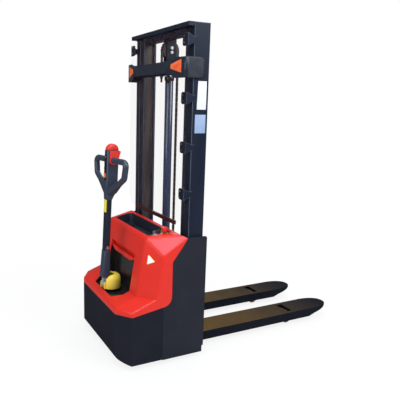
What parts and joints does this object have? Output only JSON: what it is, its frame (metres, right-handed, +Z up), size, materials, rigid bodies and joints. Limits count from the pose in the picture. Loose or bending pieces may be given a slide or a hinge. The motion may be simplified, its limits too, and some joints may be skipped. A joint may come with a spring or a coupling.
{
  "type": "electric stacker",
  "caption": "Walk-behind electric stacker: tiller-steered drive hood, two-stage mast with clear guard, chain-lifted fork carriage over straddling support legs.",
  "frame": {"origin": "on the floor, at the middle of the overall length and width", "axes": "+X from the operator's end to the fork tips, +Y to the operator's left, +Z up"},
  "size_m": [1.71, 0.79, 1.967],
  "materials": {
    "skirt_black": "fine-textured black moulding",
    "panel_black": "fine-textured black powder coat",
    "hood_red": "satin gloss red moulding",
    "liner_black": "gloss black moulding",
    "tray_black": "matt black moulding",
    "mast_black": "satin black paint over rolled steel",
    "inner_mast_black": "satin black paint, greased running faces",
    "fork_black": "satin black paint",
    "frame_black": "black paint",
    "roller_steel": "turned steel",
    "rod_chrome": "hard chrome",
    "chain_steel": "oiled leaf chain",
    "screen_clear": "clear polycarbonate sheet",
    "cover_black": "satin black moulding",
    "tiller_black": "satin black moulding",
    "tube_black": "satin black paint",
    "control_red": "gloss red moulding",
    "cover_yellow": "gloss yellow moulding",
    "control_orange": "orange moulding",
    "control_black": "matt black moulding",
    "screw_steel": "zinc plated steel",
    "wheel_polyurethane": "amber brown polyurethane",
    "drive_tyre": "dark polyurethane tread",
    "caster_tyre": "dark polyurethane tread",
    "battery_case": "moulded case",
    "motor_black": "black paint",
    "heat_sink": "anodised casting"
  },
  "bodies": {
    "chassis": {"base_frame": "frame_black", "support_leg_left": "frame_black", "support_leg_right": "frame_black", "skirt_cover": "skirt_black", "side_panel_left": "panel_black", "side_panel_right": "panel_black", "hood": "hood_red", "recess_liner": "liner_black", "storage_tray": "tray_black", "battery_meter": "control_black", "outer_channel_left": "mast_black", "outer_channel_right": "mast_black", "mast_top_beam": "mast_black", "mast_cross_members": "mast_black", "mast_foot_beam": "mast_black", "mast_cover": "cover_black", "mast_screen": "screen_clear", "screen_brackets": "mast_black", "bracket_screws": "screw_steel", "cylinder_barrel": "mast_black", "batteries": "battery_case", "hydraulic_unit": "motor_black", "motor_controller": "heat_sink", "chain_front_run": "chain_steel"},
    "stop_button": {"stop_button": "control_red"},
    "ignition_key": {"ignition_key": "screw_steel"},
    "inner_mast": {"inner_channel_left": "inner_mast_black", "inner_channel_right": "inner_mast_black", "inner_beams": "inner_mast_black", "lift_rod": "rod_chrome", "pulley_bracket": "inner_mast_black", "chain_wrap": "chain_steel", "chain_rear_run": "chain_steel"},
    "chain_pulley": {"chain_pulley": "roller_steel"},
    "mast_rollers_upper": {"mast_rollers_upper": "roller_steel"},
    "mast_rollers_lower": {"mast_rollers_lower": "roller_steel"},
    "carriage": {"fork_carriage": "fork_black", "fork_left": "fork_black", "fork_right": "fork_black"},
    "carriage_rollers_upper": {"carriage_rollers_upper": "roller_steel"},
    "carriage_rollers_lower": {"carriage_rollers_lower": "roller_steel"},
    "drive_unit": {"drive_housing": "frame_black", "drive_motor": "motor_black", "tiller_base": "frame_black", "tiller_cover": "cover_yellow"},
    "drive_wheel": {"drive_wheel": "drive_tyre"},
    "tiller": {"tiller_shaft": "tube_black", "tiller_sleeve": "tiller_black", "tiller_head": "tiller_black"},
    "belly_button": {"belly_button": "control_red"},
    "throttle": {"throttle_paddles": "control_red"},
    "lift_rocker": {"lift_rocker": "control_black"},
    "horn_button": {"horn_button": "screw_steel"},
    "creep_button": {"creep_button": "control_orange"},
    "caster_left": {"caster_fork_left": "frame_black"},
    "caster_right": {"caster_fork_right": "frame_black"},
    "caster_wheel_left": {"caster_wheel_left": "caster_tyre"},
    "caster_wheel_right": {"caster_wheel_right": "caster_tyre"},
    "load_roller_left": {"load_roller_left": "wheel_polyurethane"},
    "load_roller_right": {"load_roller_right": "wheel_polyurethane"}
  },
  "joints": [
    {"name": "mast_lift", "type": "slide", "parent": "chassis", "child": "inner_mast", "axis": [0, 0, 1], "range_m": [0, 1.43], "deforming": ["chain_front_run"]},
    {"name": "carriage_lift", "type": "slide", "parent": "inner_mast", "child": "carriage", "axis": [0, 0, 1], "range_m": [0, 1.43], "deforming": ["chain_rear_run"]},
    {"name": "steer", "type": "hinge", "parent": "chassis", "child": "drive_unit", "pos_m": [-0.743, 0, 0.285], "axis": [0, 0, 1], "range_deg": [-87, 73]},
    {"name": "drive_spin", "type": "hinge", "parent": "drive_unit", "child": "drive_wheel", "pos_m": [-0.743, 0, 0.1], "axis": [-0.1219, 0.9925, 0], "continuous": true},
    {"name": "tiller_tilt", "type": "hinge", "parent": "drive_unit", "child": "tiller", "pos_m": [-0.81446, -0.00877, 0.415], "axis": [0.1219, -0.9925, 0], "range_deg": [0, 80], "stiffness_Nm_per_rad": 25, "springref_deg": -20.05},
    {"name": "belly_press", "type": "slide", "parent": "tiller", "child": "belly_button", "axis": [-0.045, -0.0055, -0.999], "range_m": [0, 0.006], "stiffness_N_per_m": 800, "springref_m": -0.003},
    {"name": "throttle_twist", "type": "hinge", "parent": "tiller", "child": "throttle", "pos_m": [-0.7715, -0.0035, 1.19184], "axis": [-0.1219, 0.9925, 0], "range_deg": [-25, 25], "stiffness_Nm_per_rad": 0.5},
    {"name": "rocker_tilt", "type": "hinge", "parent": "tiller", "child": "lift_rocker", "pos_m": [-0.80373, -0.00746, 1.16028], "axis": [-0.1219, 0.9925, 0], "range_deg": [-8, 8], "stiffness_Nm_per_rad": 0.3},
    {"name": "horn_press", "type": "slide", "parent": "tiller", "child": "horn_button", "axis": [0.9915, 0.1217, -0.0454], "range_m": [0, 0.004], "stiffness_N_per_m": 300, "springref_m": -0.002},
    {"name": "creep_press", "type": "slide", "parent": "tiller", "child": "creep_button", "axis": [0.9915, 0.1217, -0.0454], "range_m": [0, 0.004], "stiffness_N_per_m": 300, "springref_m": -0.002},
    {"name": "stop_press", "type": "slide", "parent": "chassis", "child": "stop_button", "axis": [0.1103, 0, -0.9939], "range_m": [0, 0.005]},
    {"name": "key_turn", "type": "hinge", "parent": "chassis", "child": "ignition_key", "pos_m": [-0.587, -0.244, 0.77379], "axis": [-0.1103, 0, 0.9939], "range_deg": [0, 90]},
    {"name": "pulley_spin", "type": "hinge", "parent": "inner_mast", "child": "chain_pulley", "pos_m": [-0.383, 0, 1.852], "axis": [0, 1, 0], "range_deg": [-1492, 0]},
    {"name": "upper_roller_spin", "type": "hinge", "parent": "chassis", "child": "mast_rollers_upper", "pos_m": [-0.385, 0, 1.89], "axis": [0, 1, 0], "range_deg": [0, 2587]},
    {"name": "lower_roller_spin", "type": "hinge", "parent": "inner_mast", "child": "mast_rollers_lower", "pos_m": [-0.385, 0, 0.115], "axis": [0, 1, 0], "range_deg": [-2298, 0]},
    {"name": "carriage_upper_spin", "type": "hinge", "parent": "carriage", "child": "carriage_rollers_upper", "pos_m": [-0.385, 0, 0.43], "axis": [0, 1, 0], "range_deg": [0, 2587]},
    {"name": "carriage_lower_spin", "type": "hinge", "parent": "carriage", "child": "carriage_rollers_lower", "pos_m": [-0.385, 0, 0.165], "axis": [0, 1, 0], "range_deg": [-2587, 0]},
    {"name": "caster_swivel_left", "type": "hinge", "parent": "chassis", "child": "caster_left", "pos_m": [-0.7, 0.282, 0.165], "axis": [0, 0, 1], "continuous": true},
    {"name": "caster_spin_left", "type": "hinge", "parent": "caster_left", "child": "caster_wheel_left", "pos_m": [-0.665, 0.282, 0.06], "axis": [0, 1, 0], "continuous": true},
    {"name": "load_roller_spin_left", "type": "hinge", "parent": "chassis", "child": "load_roller_left", "pos_m": [0.493, 0.196, 0.04], "axis": [0, 1, 0], "continuous": true},
    {"name": "caster_swivel_right", "type": "hinge", "parent": "chassis", "child": "caster_right", "pos_m": [-0.7, -0.282, 0.165], "axis": [0, 0, 1], "continuous": true},
    {"name": "caster_spin_right", "type": "hinge", "parent": "caster_right", "child": "caster_wheel_right", "pos_m": [-0.665, -0.282, 0.06], "axis": [0, 1, 0], "continuous": true},
    {"name": "load_roller_spin_right", "type": "hinge", "parent": "chassis", "child": "load_roller_right", "pos_m": [0.493, -0.196, 0.04], "axis": [0, 1, 0], "continuous": true}
  ],
  "couplings": [
    {"joint": "carriage_lift", "follows": "mast_lift", "ratio": 1},
    {"joint": "pulley_spin", "follows": "mast_lift", "rad_per_m": -18.182},
    {"joint": "upper_roller_spin", "follows": "mast_lift", "rad_per_m": 31.546},
    {"joint": "lower_roller_spin", "follows": "mast_lift", "rad_per_m": -28.011},
    {"joint": "carriage_upper_spin", "follows": "mast_lift", "rad_per_m": 31.546},
    {"joint": "carriage_lower_spin", "follows": "mast_lift", "rad_per_m": -31.546}
  ]
}
